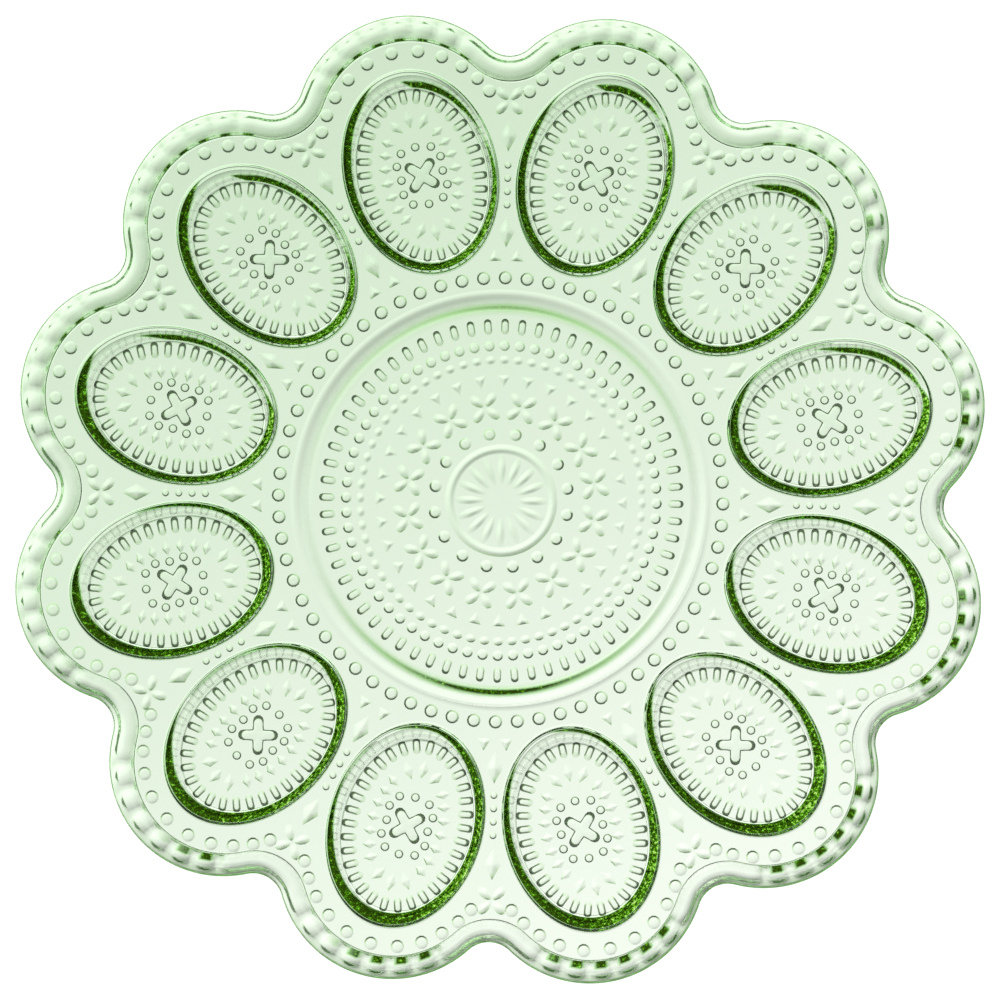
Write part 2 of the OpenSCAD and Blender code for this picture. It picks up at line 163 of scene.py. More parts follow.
def rim_lines(inset):
    """Half of one sector's outline, moved in by each inset: an arc about the scallop's middle, then an
    arc about the hollow's middle whose radius grows by the same amount. Insets are rows."""
    inset = np.broadcast_to(inset, (len(inset), LOBE_STEPS + VALLEY_STEPS + 1))
    lobe_a = lobe_angles()
    lobe_r = LOBE_R - inset[:, :LOBE_STEPS + 1]
    lobe = np.stack([lobe_r * np.sin(lobe_a), LOBE_RING_R + lobe_r * np.cos(lobe_a)], -1)
    valley_a = valley_angles()
    valley_r = VALLEY_R + inset[:, LOBE_STEPS + 1:]
    out = VALLEY_RING_R - valley_r * np.cos(valley_a)
    aside = -valley_r * np.sin(valley_a)
    valley = np.stack([out * math.sin(HALF_TURN) + aside * math.cos(HALF_TURN),
                       out * math.cos(HALF_TURN) - aside * math.sin(HALF_TURN)], -1)
    return np.concatenate([lobe, valley], 1)


def sector_edge():
    """Closed loop round one cup: inner line of the rim, web line, lip of the well, and the same mirrored."""
    rim = rim_lines(np.array([[RIM_BAND]]))[0]
    along = np.array([math.sin(HALF_TURN), math.cos(HALF_TURN)])
    web_r = np.linspace(np.hypot(*rim[-1]), WELL_LIP_R, WEB_STEPS)[1:]
    web_r = np.append(np.hypot(*rim[-1]) - 0.4, web_r)
    well_a = np.linspace(HALF_TURN, 0, WELL_STEPS + 1)[1:]
    well = WELL_LIP_R * np.stack([np.sin(well_a), np.cos(well_a)], 1)
    half = np.concatenate([rim, web_r[:, None] * along, well])
    mirrored = half[-2:0:-1] * np.array([-1, 1])
    return np.concatenate([half, mirrored])


def grid_faces(rows, columns, closed):
    """Two triangles for each cell of a grid of rows and columns, which may close round its columns."""
    row = np.arange(rows - 1)[:, None]
    col = np.arange(columns if closed else columns - 1)[None, :]
    nxt = (col + 1) % columns
    a = row * columns + col
    b = row * columns + nxt
    c = (row + 1) * columns + nxt
    d = (row + 1) * columns + col
    return np.concatenate([np.stack([a, b, c], -1).reshape(-1, 3), np.stack([a, c, d], -1).reshape(-1, 3)])


def weld(parts):
    """Joins grids of (points, faces, marks) into one mesh: equal points become one, and faces that
    lose a corner are dropped. Marks are two numbers for each point."""
    points = np.concatenate([p.reshape(-1, 3) for p, f, m in parts])
    marks = np.concatenate([np.broadcast_to(m, p.shape[:-1] + (2,)).reshape(-1, 2) for p, f, m in parts])
    starts = np.cumsum([0] + [p.reshape(-1, 3).shape[0] for p, f, m in parts[:-1]])
    faces = np.concatenate([f + s for (p, f, m), s in zip(parts, starts)])
    keys, first, index = np.unique(np.round(points, 4), axis=0, return_index=True, return_inverse=True)
    faces = index.reshape(-1)[faces]
    whole = (faces[:, 0] != faces[:, 1]) & (faces[:, 1] != faces[:, 2]) & (faces[:, 2] != faces[:, 0])
    return points[first], faces[whole], marks[first]


def make_piece(name, points, faces, marks, material, nodes):
    """Puts a mesh into the scene, rides it on the body and lets it stand for its nodes."""
    mesh = bpy.data.meshes.new(name)
    mesh.from_pydata(points * MM, [], faces)
    mesh.polygons.foreach_set("use_smooth", np.ones(len(faces), dtype=bool))
    for k, key in enumerate(("painted_shade", "painted_glow")):
        values = np.ascontiguousarray(marks[:, k], dtype=np.float32)
        mesh.attributes.new(key, "FLOAT", "POINT").data.foreach_set("value", values)
    mesh.materials.append(material)
    mesh.update()
    piece = bpy.data.objects.new(name, mesh)
    bpy.context.collection.objects.link(piece)
    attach(piece, "root")
    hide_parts(*nodes)
    return piece


def cup_angles(edge):
    """Parameters on a cup's ovals at which they face the points of the sector's edge."""
    return np.arctan2(edge[:, 0], (edge[:, 1] - CUP_RING_R) / STRETCH)


def cup_rings(section, edge):
    """Rings of a cup: an oval of each half size of the section, stretched along the radius, at its
    height."""
    t = cup_angles(edge)
    h = section[:, 0][:, None]
    x = h * np.sin(t)
    y = CUP_RING_R + h * STRETCH * np.cos(t)
    z = np.broadcast_to(section[:, 1][:, None], x.shape)
    return np.stack([x, y, z], -1)


def cup_top_section():
    """Section of a cup's upper face from the deck to its middle: rounded lip, drafted wall, rounded
    corner, flat floor."""
    lip = arc_points((LIP_HALF + LIP_ROUND, DECK_Z - LIP_ROUND), LIP_ROUND, 90, 168, 3)
    floor_half = CORNER_HALF - CORNER_ROUND
    corner = arc_points((floor_half, CUP_FLOOR_Z + CORNER_ROUND), CORNER_ROUND, -12, -90, 3)
    wall = np.linspace(lip[-1], corner[0], 11)[1:-1]
    return np.concatenate([[[LIP_HALF + LIP_ROUND + 0.15, DECK_Z]], lip, wall, corner,
                           [[floor_half - 0.4, CUP_FLOOR_Z], [8, CUP_FLOOR_Z], [0, CUP_FLOOR_Z]]])


def cup_under_section():
    """Section of a cup's lower face from the deck to its middle: fillet, drafted outer wall, rounded
    foot rim, flat underside."""
    fillet_half = FILLET_HALF + FILLET_ROUND
    fillet = arc_points((fillet_half, DECK_UNDER_Z - FILLET_ROUND), FILLET_ROUND, 90, 168, 3)
    outer = arc_points((FOOT_OUT_HALF - FOOT_OUT_ROUND, FOOT_OUT_ROUND), FOOT_OUT_ROUND, -12, -90, 2)
    inner = arc_points((FOOT_IN_HALF + FOOT_IN_ROUND, FOOT_IN_ROUND), FOOT_IN_ROUND, -90, -180, 2)
    root = arc_points((FOOT_IN_HALF - FOOT_ROOT_ROUND, CUP_UNDER_Z - FOOT_ROOT_ROUND), FOOT_ROOT_ROUND,
                      0, 90, 2)
    wall = np.linspace(fillet[-1], outer[0], 3)[1:-1]
    return np.concatenate([[[fillet_half + 0.2, DECK_UNDER_Z]], fillet, wall, outer, inner, root,
                           [[FOOT_IN_HALF - 0.35, CUP_UNDER_Z], [8, CUP_UNDER_Z], [0, CUP_UNDER_Z]]])


def wall_marks(section, edge, angle):
    """Shares of painted shade, a dark green band, and of a painted yellow-green glow on the upper wall of
    the cup at an angle. The band lies between two shares of the wall's width in plan that depend on where
    the wall faces; the glow is strongest on walls that face east and a little south."""
    t = cup_angles(edge)
    outward = turned(np.stack([np.sin(t) * STRETCH, np.cos(t)], 1), angle)
    outward /= np.linalg.norm(outward, axis=1)[:, None]
    compass = np.degrees(np.arctan2(outward[:, 0], outward[:, 1])) % 360
    back = ease(-0.4, 0.4, math.cos(angle))
    first, last = [back * np.interp(compass, BACK_BAND[:, 0], BACK_BAND[:, k])
                   + (1 - back) * np.interp(compass, FRONT_BAND[:, 0], FRONT_BAND[:, k]) for k in (1, 2)]
    outer_half = LIP_HALF + LIP_ROUND
    inner_half = CORNER_HALF - CORNER_ROUND
    share = ((outer_half - section[:, 0]) / (outer_half - inner_half))[:, None]
    band = ease(first - 0.04, first + 0.04, share) * (1 - ease(last - 0.05, last + 0.05, share))
    band = band * np.clip((last - first) / 0.12, 0, 1) * ((share > 0) & (share < 0.99))
    # Painted glow on the walls that face east and a little south
    painted_glow = np.clip(outward @ np.array([0.92, -0.39]), 0, 1) ** 1.5
    return np.stack([band, np.broadcast_to(painted_glow, band.shape)], -1)


def rim_section():
    """Section of the rim as rows of (inset from the outline, height, share of flute, share of the upper
    side), from the deck's top over the edge to its underside. The top is a quarter of an ellipse, the edge
    most of a half circle, and the underside the same ellipse moved along its normals by a thickness that
    is largest in the upper half of the band, as in a lens."""
    wide = RIM_BAND - RIM_NOSE
    high = RIM_TOP_Z - DECK_Z
    a = np.radians(np.array([5, 12, 19, 26, 33, 41, 50, 60, 70, 80, 90]))
    top = np.stack([RIM_NOSE + wide * np.cos(a), DECK_Z + high * np.sin(a), 0 * a, 1 + 0 * a], 1)
    foot = np.array([[RIM_BAND, DECK_Z, 0, 1], [RIM_BAND - 0.02, DECK_Z + 0.25, 0, 1]])
    nose = arc_points((-RIM_NOSE, RIM_TOP_Z - RIM_NOSE), RIM_NOSE, 65, -65, 5)
    nose = np.stack([-nose[:, 0], nose[:, 1], 0 * nose[:, 0], 1 + 0 * nose[:, 0]], 1)
    b = np.radians(np.linspace(90, 0, 11))
    length = np.hypot(high * np.cos(b), wide * np.sin(b))
    thick = np.interp(b, np.radians([0, 22.5, 45, 67.5, 90]), RIM_THICK)
    under = np.stack([RIM_NOSE + wide * np.cos(b) - thick * high * np.cos(b) / length,
                      DECK_Z + high * np.sin(b) - thick * wide * np.sin(b) / length,
                      np.abs(np.sin(2 * b)) ** 0.6, 0 * b], 1)
    c = np.radians(np.linspace(0, 90, 6)[1:])
    round_in = np.stack([RIM_BAND - RIM_THICK[0] * np.cos(c), DECK_Z - (DECK_Z - DECK_UNDER_Z) * np.sin(c),
                         0 * c, 0 * c], 1)
    return np.concatenate([foot, top, nose, under, round_in])


def flute_wave():
    """Share of flute along a sector's outline, one in the sharp line between two flutes and zero in the
    middle of a flute, and the share of the flutes that is kept at each point as they fade out."""
    a = lobe_angles()
    kept = np.concatenate([ease(0, FLUTE_STEP, LOBE_ARC - a), np.zeros(VALLEY_STEPS)])
    wave = np.concatenate([1 - np.abs(np.sin(np.pi * a / FLUTE_STEP)), np.zeros(VALLEY_STEPS)]) * kept
    return np.concatenate([wave[:0:-1], wave]), np.concatenate([kept[:0:-1], kept])


def rim_band():
    """Rim of one sector: the outline moved in by each inset of the section. Flutes sink into the
    underside along the scallop and fade at its ends."""
    section = rim_section()
    wave = flute_wave()[0][LOBE_STEPS + VALLEY_STEPS:]
    sink = FLUTE_DEPTH * section[:, 2][:, None] * wave
    plan = rim_lines(section[:, 0][:, None] + 0.7 * sink)
    half = np.concatenate([plan, (section[:, 1][:, None] + 0.7 * sink)[..., None]], -1)
    mirrored = half[:, :0:-1] * np.array([-1, 1, 1])
    return np.concatenate([mirrored, half], 1)


def rim_marks(angle):
    """Shares of painted shade and of painted glow (none here) on the upper side of the rim of the sector at
    an angle.
    All of it is painted shade: soft green between the flutes, a greener edge on the sunny side, a greener
    foot on the far side, dark windows low in the flutes that face the front right, and dark dashes at the
    very foot of the flutes at the back."""
    section = rim_section()
    facing = np.concatenate([lobe_angles(), HALF_TURN + valley_angles()])
    facing = angle + np.concatenate([-facing[:0:-1], facing])
    outward = np.stack([np.sin(facing), np.cos(facing)], 1)
    sunny = outward @ SUNNY
    wave, kept = flute_wave()
    inset = section[:, 0][:, None]
    edge = 1 - ease(0.4, 4.5, inset)
    foot = ease(4.0, 6.8, inset)
    window = (1 - ease(0.3, 0.55, wave)) * (kept > 0.9) * (inset > 5) * (inset < 7)
    window = window * ease(0.15, 0.6, outward @ np.array([0.6, -0.8]))
    dashes = (1 - ease(0.3, 0.5, wave)) * (kept > 0.2) * (inset > 6.8)
    window = window + dashes * ease(0.3, 0.7, outward[:, 1])
    # Painted shade: green along the flutes, at the sunny edge and at the far foot, with dark windows and
    # dashes
    painted_shade = 0.25 * wave * edge + 0.45 * np.clip(sunny, 0, 1) * edge + 0.15 * np.clip(-sunny, 0, 1) * foot
    painted_shade = np.clip(painted_shade + window, 0, 1) * section[:, 3][:, None]
    return np.stack([painted_shade, 0 * painted_shade], -1)


def well_surface(floor_z, lip_z, first_r, last_r):
    """Round floor and soft wall of the well: height rises as half a cosine between two radii. Gives the
    points, and marks of a painted shade, a green line at the foot of the wall, strongest at the front."""
    r = np.concatenate([[0, 30, first_r - 1], np.linspace(first_r, last_r, 11), [WELL_LIP_R]])
    way = np.clip((r - first_r) / (last_r - first_r), 0, 1)
    z = floor_z + (lip_z - floor_z) * (1 - np.cos(np.pi * way)) / 2
    count = CUP_COUNT * 2 * WELL_STEPS
    a = 2 * np.pi * np.arange(count) / count
    x = r[:, None] * np.sin(a)
    y = r[:, None] * np.cos(a)
    line = np.interp(np.degrees(a), LINE_COMPASS[:, 0], LINE_COMPASS[:, 1])
    painted_shade = np.interp(r, LINE_RADIUS[:, 0], LINE_RADIUS[:, 1])[:, None] * line
    return np.stack([x, y, np.broadcast_to(z[:, None], x.shape)], -1), np.stack([painted_shade, 0 * painted_shade], -1)


def glass_shell():
    """The whole casting without its relief, as one closed surface: cups, deck, well and rim."""
    edge = sector_edge()
    parts = []
    for section, z, upper in ((cup_top_section(), DECK_Z, True), (cup_under_section(), DECK_UNDER_Z, False)):
        rings = cup_rings(section, edge)
        outside = np.concatenate([edge, np.full((len(edge), 1), z)], 1)[None]
        hold = outside + 0.05 * (rings[:1] - outside)
        surface = np.concatenate([outside, hold, rings])
        faces = grid_faces(len(surface), len(edge), True)
        faces = faces[:, ::-1] if upper else faces
        for i in range(CUP_COUNT):
            angle = HALF_TURN + CUP_TURN * i
            # Painted shade and painted glow on the upper faces of the cup walls
            marks = np.concatenate([np.zeros((2, len(edge), 2)), wall_marks(section, edge, angle)])
            parts.append((turned(surface, angle), faces, marks if upper else np.zeros(2)))
    # The rim, with painted shade along its flutes and edges
    band = rim_band()
    faces = grid_faces(band.shape[0], band.shape[1], False)
    for i in range(CUP_COUNT):
        angle = HALF_TURN + CUP_TURN * i
        parts.append((turned(band, angle), faces, rim_marks(angle)))
    # The well's top carries the painted shade line at the foot of its wall
    top, marks = well_surface(WELL_FLOOR_Z, DECK_Z, WELL_FLOOR_R, WELL_LIP_R - 1.1)
    faces = grid_faces(top.shape[0], top.shape[1], True)
    parts.append((top, faces, marks))
    under = well_surface(WELL_UNDER_Z, DECK_UNDER_Z, WELL_FLOOR_R + 0.4, WELL_LIP_R - 0.1)[0]
    parts.append((under, faces[:, ::-1], np.zeros(2)))
    return weld(parts)


def plate(height, face):
    """Rows of (share of the outline, drop, share of painted dark edge) for relief with a flank and a
    slightly domed face that takes up a share of the outline. The dark edge is painted shade on the flank."""
    s = np.array([1.0, 0.3 + 0.7 * face, face, 0.6 * face])
    drop = height * np.array([0, 0.5, 0.76, 0.92])
    return np.stack([s, drop - SUNK * (s == 1), [1.0, 1.0, 0.0, 0.0]], 1), height


def soft(height):
    """Rows of (share of the outline, drop, share of painted dark edge) for relief with a soft foot: the drop
    is half a cosine of the share. The dark edge is painted shade on the foot."""
    s = np.array([1.0, 0.8, 0.55, 0.28])
    drop = height * (1 + np.cos(np.pi * s)) / 2
    return np.stack([s, drop - SUNK * (s == 1), [1.0, 1.0, 0.2, 0.0]], 1), height


def motif(outline, profile):
    """One closed motif below the glass: its outline shrinks to a point as the rows of the profile say, and a
    flat cover inside the glass closes it. Gives points, faces, share of painted dark edge (painted shade),
    and the side that each point is on."""
    rows, height = profile
    count = len(outline)
    rings = np.concatenate([outline[None] * rows[:, 0][:, None, None],
                            np.broadcast_to(-rows[:, 1][:, None, None], (len(rows), count, 1))], -1)
    cover = np.concatenate([outline, np.full((count, 1), SUNK)], 1)
    points = np.concatenate([rings.reshape(-1, 3), [[0, 0, -height]], cover])
    along = np.roll(outline, -1, axis=0) - np.roll(outline, 1, axis=0)
    side = np.stack([along[:, 1], -along[:, 0]], 1)
    side /= np.linalg.norm(side, axis=1)[:, None]
    sides = np.concatenate([np.tile(side, (len(rows), 1)), np.zeros((count + 1, 2))])
    dark = np.concatenate([np.repeat(rows[:, 2], count), np.zeros(count + 1)])
    i = np.arange(count)
    j = (i + 1) % count
    tip = len(rows) * count
    quads = [np.stack([k * count + i, (k + 1) * count + i, (k + 1) * count + j, k * count + j], 1)
             for k in range(len(rows) - 1)]
    fan = np.stack([tip - count + j, tip - count + i, tip + 0 * i], 1)
    return points, (np.concatenate(quads), fan, tip + 1 + i[None]), dark, sides


def oval(width, length, count):
    """Ellipse, counted counterclockwise from +Y."""
    a = 2 * np.pi * np.arange(count) / count
    return np.stack([-width / 2 * np.sin(a), length / 2 * np.cos(a)], 1)


def petal_outline(width, length, count):
    """Petal: an ellipse that narrows towards its inner end."""
    out = oval(width, length, count)
    out[:, 0] *= 0.85 + 0.3 * out[:, 1] / length
    return out


def bar(width, length, count):
    """Bar with round ends: two half circles of count points each."""
    a = np.linspace(-np.pi / 2, np.pi / 2, count)
    r = width / 2
    end = np.stack([-r * np.sin(a), (length - width) / 2 + r * np.cos(a)], 1)
    return np.concatenate([end, -end])


def sided(corners, per_side):
    """Straight-sided outline with points along each side."""
    corners = np.asarray(corners, dtype=float)
    nxt = np.roll(corners, -1, axis=0)
    way = (np.arange(per_side) / per_side)[None, :, None]
    return (corners[:, None] * (1 - way) + nxt[:, None] * way).reshape(-1, 2)


def cross_outline(width, reach, count):
    """Cross of four arms with round ends, set at 45 degrees to +Y."""
    a = np.linspace(-np.pi / 2, np.pi / 2, count)
    r = width / 2
    end = np.stack([-r * np.sin(a), reach - r + r * np.cos(a)], 1)
    middle = 0.5 * (end[-1] + np.array([-r, r]))
    arm = np.concatenate([[middle * np.array([-1, 1])], end, [middle], [[-r * 1.08, r * 1.08]]])
    return np.concatenate([turned(arm, math.radians(-45 - 90 * k)) for k in range(4)])


def relief_piece(name, *groups):
    """Makes one piece from groups of (motif, places, aim, base, gain). Places are rows of (x, y, z,
    clockwise angle). A flank carries painted shade: it is dark by base + gain * (its side along the aim of
    its place), so that the aim is the side on which the shade falls."""
    all_points = []
    all_marks = []
    all_faces = []
    start = 0
    for (points, faces, dark, sides), places, aim, base, gain in groups:
        places = np.asarray(places, dtype=float)
        c = np.cos(places[:, 3])[:, None]
        s = np.sin(places[:, 3])[:, None]
        x = points[:, 0] * c + points[:, 1] * s + places[:, 0][:, None]
        y = points[:, 1] * c - points[:, 0] * s + places[:, 1][:, None]
        z = points[:, 2] + places[:, 2][:, None]
        side_x = sides[:, 0] * c + sides[:, 1] * s
        side_y = sides[:, 1] * c - sides[:, 0] * s
        aims = np.broadcast_to(aim, (len(places), 2))
        toward = side_x * aims[:, 0][:, None] + side_y * aims[:, 1][:, None]
        mark = np.clip(base + gain * toward, 0, 1) * dark
        shift = (start + np.arange(len(places)) * len(points))[:, None, None]
        for part in faces:
            all_faces += (part[None] + shift).reshape(-1, part.shape[1]).tolist()
        all_points.append(np.stack([x, y, z], -1).reshape(-1, 3))
        all_marks.append(np.stack([mark, 0 * mark], -1).reshape(-1, 2))
        start += len(places) * len(points)
    make_piece(name, np.concatenate(all_points), all_faces, np.concatenate(all_marks), RELIEF,
               [name])


def ring_places(count, radius, z, first=0.0, turn=0.0):
    """Places round a circle, each turned to point outwards and then by turn."""
    a = first + 2 * np.pi * np.arange(count) / count
    return np.stack([radius * np.sin(a), radius * np.cos(a), np.full(count, z), a + turn], 1)


def cup_places(local, z):
    """Places given as (across, along, angle) about a cup's middle, repeated at every cup."""
    local = np.asarray(local, dtype=float)
    a = (HALF_TURN + CUP_TURN * np.arange(CUP_COUNT))[:, None]
    x = local[None, :, 0]
    y = CUP_RING_R + local[None, :, 1]
    return np.stack([x * np.cos(a) + y * np.sin(a), y * np.cos(a) - x * np.sin(a),
                     np.full((CUP_COUNT, len(local)), z), local[None, :, 2] + a], -1).reshape(-1, 4)


def outward_of(places):
    """Direction in which each place points."""
    return np.stack([np.sin(places[:, 3]), np.cos(places[:, 3])], 1)


def radial_of(places):
    """Direction of each place from the platter's axis."""
    return places[:, :2] / np.linalg.norm(places[:, :2], axis=1)[:, None]


def floret_places(middles, apart):
    """Four petals round each middle, set crosswise to its angle."""
    rows = []
    for k in range(4):
        a = middles[:, 3] + math.radians(45 + 90 * k)
        rows.append(np.stack([middles[:, 0] + apart * np.sin(a), middles[:, 1] + apart * np.cos(a),
                              middles[:, 2], a], 1))
    return np.concatenate(rows)


def oval_points(along, across, t):
    """Points (across, along, outward angle) of an oval at parameters t."""
    outward = np.arctan2(np.sin(t) / across, np.cos(t) / along)
    return np.stack([across * np.sin(t), along * np.cos(t), outward], 1)


def even_on_oval(along, across, count):
    """Parameters at even steps of length along an oval."""
    t = np.linspace(0, 2 * np.pi, 721)
    step = np.hypot(np.diff(across * np.sin(t)), np.diff(along * np.cos(t)))
    way = np.concatenate([[0], np.cumsum(step)])
    return np.interp(way[-1] * np.arange(count) / count, way, t)


def fresh_tree(owner):
    """Empty node tree of a material or world."""
    owner.use_nodes = True
    owner.node_tree.nodes.clear()
    return owner.node_tree


def add(tree, kind, **inputs):
    """Adds a node and sets the inputs that are named."""
    node = tree.nodes.new(kind)
    for key, value in inputs.items():
        node.inputs[key.replace("_", " ")].default_value = value
    return node


def operate(tree, kind, operation, *inputs):
    """Adds a math node of a kind, whose inputs are constants or outputs."""
    node = tree.nodes.new(kind)
    node.operation = operation
    for socket, value in zip(node.inputs, inputs):
        if isinstance(value, bpy.types.NodeSocket):
            tree.links.new(value, socket)
        else:
            socket.default_value = value
    return node


def map_range(tree, value, low, high, clamp=True, **inputs):
    """Maps an output from between low and high to between zero and one, or to the inputs that are named."""
    node = add(tree, "ShaderNodeMapRange", From_Min=low, From_Max=high, **inputs)
    node.clamp = clamp
    tree.links.new(value, node.inputs["Value"])
    return node.outputs["Result"]


def shader_mix(tree, factor, first, second):
    """Mixes two shaders by an output."""
    node = tree.nodes.new("ShaderNodeMixShader")
    for socket, value in zip(node.inputs, (factor, first, second)):
        tree.links.new(value, socket)
    return node.outputs[0]


def color_mix(tree, factor, first, second):
    """Mixes two colours, each a constant or an output, by an output."""
    node = tree.nodes.new("ShaderNodeMix")
    node.data_type = "RGBA"
    tree.links.new(factor, node.inputs["Factor"])
    for key, value in (("A", first), ("B", second)):
        if isinstance(value, tuple):
            node.inputs[key].default_value = value + (1,)
        else:
            tree.links.new(value, node.inputs[key])
    return node.outputs["Result"]


def attribute(tree, name):
    """Number that each point of the mesh carries."""
    node = tree.nodes.new("ShaderNodeAttribute")
    node.attribute_name = name
    return node.outputs["Fac"]


def set_ramp(node, stops):
    """Sets the stops of a colour ramp from (position, colour)."""
    elements = node.color_ramp.elements
    for position, color in stops[1:-1]:
        elements.new(position)
    for element, (position, color) in zip(elements, stops):
        element.position = position
        element.color = color + (1,)


def glass_material(name, pales, middling, stops, flecks, face_on):
    """Pressed glass. Its tint goes from one pale green to a paler one towards the sunny side, a painted
    paling of the lit side, and wanders with a cloudy noise. Where the mesh carries painted shade it turns
    middling green, and where the painted shade is full it turns dark green with flecks, pushed towards
    bright yellow-green by the painted glow; looked at face on, where less glass lies behind it, only a share
    of the painted shade counts.
    Light from lamps passes straight on with the same tint."""
    material = bpy.data.materials.new(name)
    tree = fresh_tree(material)
    link = tree.links.new
    coords = add(tree, "ShaderNodeTexCoord").outputs["Object"]
    # Painted paling: the tint turns paler towards the sunny side
    across = operate(tree, "ShaderNodeVectorMath", "DOT_PRODUCT", coords, (SUNNY[0], SUNNY[1], 0))
    painted_paling = map_range(tree, across.outputs["Value"], -0.13, 0.13, False, To_Min=-0.2, To_Max=0.8)
    cloud = add(tree, "ShaderNodeTexNoise", Scale=9.0, Detail=2.0)
    link(coords, cloud.inputs["Vector"])
    spread = operate(tree, "ShaderNodeMath", "MULTIPLY_ADD", cloud.outputs["Fac"], 0.4, painted_paling)
    tint = color_mix(tree, spread.outputs[0], *pales)
    upright = operate(tree, "ShaderNodeVectorMath", "MULTIPLY", coords, (1, 1, 0.15))
    fleck = add(tree, "ShaderNodeTexNoise", Scale=flecks, Detail=3.0, Roughness=0.7)
    link(upright.outputs[0], fleck.inputs["Vector"])
    # Painted glow: marked walls lift the flecked ramp towards bright yellow-green
    painted_glow = attribute(tree, "painted_glow")
    shift = operate(tree, "ShaderNodeMath", "MULTIPLY_ADD", painted_glow, 0.1, fleck.outputs["Fac"])
    ramp = add(tree, "ShaderNodeValToRGB")
    set_ramp(ramp, stops)
    link(shift.outputs[0], ramp.inputs["Fac"])
    look = add(tree, "ShaderNodeLayerWeight", Blend=0.5)
    depth = map_range(tree, look.outputs["Facing"], 0.08, 0.25, To_Min=face_on)
    # Painted shade from the mesh's marks
    painted_shade = operate(tree, "ShaderNodeMath", "MULTIPLY", attribute(tree, "painted_shade"), depth).outputs[0]
    body = color_mix(tree, map_range(tree, painted_shade, 0.0, 0.5), tint, middling)
    body = color_mix(tree, map_range(tree, painted_shade, 0.5, 1.0), body, ramp.outputs["Color"])
    glass = add(tree, "ShaderNodeBsdfGlass", Roughness=0.0, IOR=1.5)
    link(body, glass.inputs["Color"])
    clear = add(tree, "ShaderNodeBsdfTransparent")
    link(body, clear.inputs["Color"])
    ray = add(tree, "ShaderNodeLightPath")
    surface = shader_mix(tree, ray.outputs["Is Shadow Ray"], glass.outputs[0], clear.outputs[0])
    link(surface, add(tree, "ShaderNodeOutputMaterial").inputs["Surface"])
    return material


# Shell glass: a greener and a paler tint for the painted paling, middling green for light painted shade, and
# ramp stops from dark green for full painted shade up to bright yellow-green for the painted glow
SHELL = glass_material("green_glass", ((0.856, 0.952, 0.828), (0.928, 0.968, 0.91)), (0.5, 0.76, 0.4),
                       [(0.5, (0.03, 0.065, 0.004)), (0.59, (0.06, 0.2, 0.006)), (0.66, (0.22, 0.66, 0.02)),
                        (0.74, (0.7, 0.97, 0.3))], 950.0, 0.4)
# Relief glass: near white tints, a middling green and greens down to near black for its painted dark edges
RELIEF = glass_material("relief_glass", ((0.98, 0.995, 0.975), (0.99, 0.995, 0.988)), (0.66, 0.82, 0.58),
                        [(0.4, (0.012, 0.03, 0.004)), (0.55, (0.025, 0.06, 0.008)),
                         (0.75, (0.06, 0.13, 0.02))], 520.0, 1.0)

cup_numbers = range(1, CUP_COUNT + 1)
numbered = [f"{kind}_{i:02d}" for kind in ("egg_cup", "deck_web", "scallop") for i in cup_numbers]
shell_points, shell_faces, shell_marks = glass_shell()
make_piece("glass_shell", shell_points, shell_faces, shell_marks, SHELL,
           ["center_well", "rim_valleys"] + numbered)

# Relief of the well; its motifs carry painted shade on their flanks
# Plan direction towards which most painted dark edges of the relief fall
LOW = np.array([0.2, -0.98])
ring_a = 2 * np.pi * np.arange(HUB_RING_STEPS) / HUB_RING_STEPS
ring_aside = np.append(np.linspace(HUB_RING_HALF, -HUB_RING_HALF, 9), [-HUB_RING_HALF, HUB_RING_HALF])
ring_drop = HUB_RING_HEIGHT / 2 * (1 + np.cos(np.pi * ring_aside / HUB_RING_HALF))
ring_drop -= SUNK * (np.abs(ring_aside) > HUB_RING_HALF - 0.1)
ring_rows = len(ring_aside)
hub_r = HUB_RING_R + ring_aside[:, None]
hub_z = WELL_UNDER_Z - np.broadcast_to(ring_drop[:, None], (ring_rows, HUB_RING_STEPS))
hub_ring = np.stack([hub_r * np.sin(ring_a), hub_r * np.cos(ring_a), hub_z], -1)
# The row of faces between the inner edge of the ring and its own copy has no area, so it is dropped
ring_faces = grid_faces(ring_rows, HUB_RING_STEPS, True).reshape(2, ring_rows - 1, HUB_RING_STEPS, 3)
ring_faces = np.delete(ring_faces, 8, axis=1).reshape(-1, 3)
ring_mark = np.zeros(hub_ring.shape[:2] + (2,))
# Painted shade: a dark line on the outer flank of the ring towards the front
ring_mark[:2, :, 0] = 0.8 * np.clip(-np.cos(ring_a) + 0.3 * np.sin(ring_a) - 0.3, 0, 1)
make_piece("hub_ring", hub_ring.reshape(-1, 3), ring_faces, ring_mark.reshape(-1, 2), RELIEF,
           ["hub_ring"])
ray = motif(petal_outline(3.2, 9.6, 16), soft(0.4))
relief_piece("hub_rays", (ray, ring_places(RAY_COUNT, 10.2, WELL_UNDER_Z), LOW, 0, 0))
hub_bead = motif(oval(4.0, 4.0, 14), plate(0.32, 0.62))
hub_places = ring_places(RAY_COUNT, 21.7, WELL_UNDER_Z, math.pi / RAY_COUNT)
relief_piece("hub_beads", (hub_bead, hub_places, 0.7 * radial_of(hub_places) + 0.7 * LOW, 0.4, 1.3))
PETAL_APART = 3.2
petal = motif(petal_outline(3.6, 5.4, 10), soft(0.5))
floret_ring = ring_places(RAY_COUNT, 30.5, WELL_UNDER_Z, math.pi / RAY_COUNT)
relief_piece("well_florets", (petal, floret_places(floret_ring, PETAL_APART), LOW, -0.35, 1.1))
TRIANGLE_RING_R = 39.3
triangle = motif(sided([[0, 2.6], [-2.2, -1.3], [2.2, -1.3]], 3), soft(0.42))
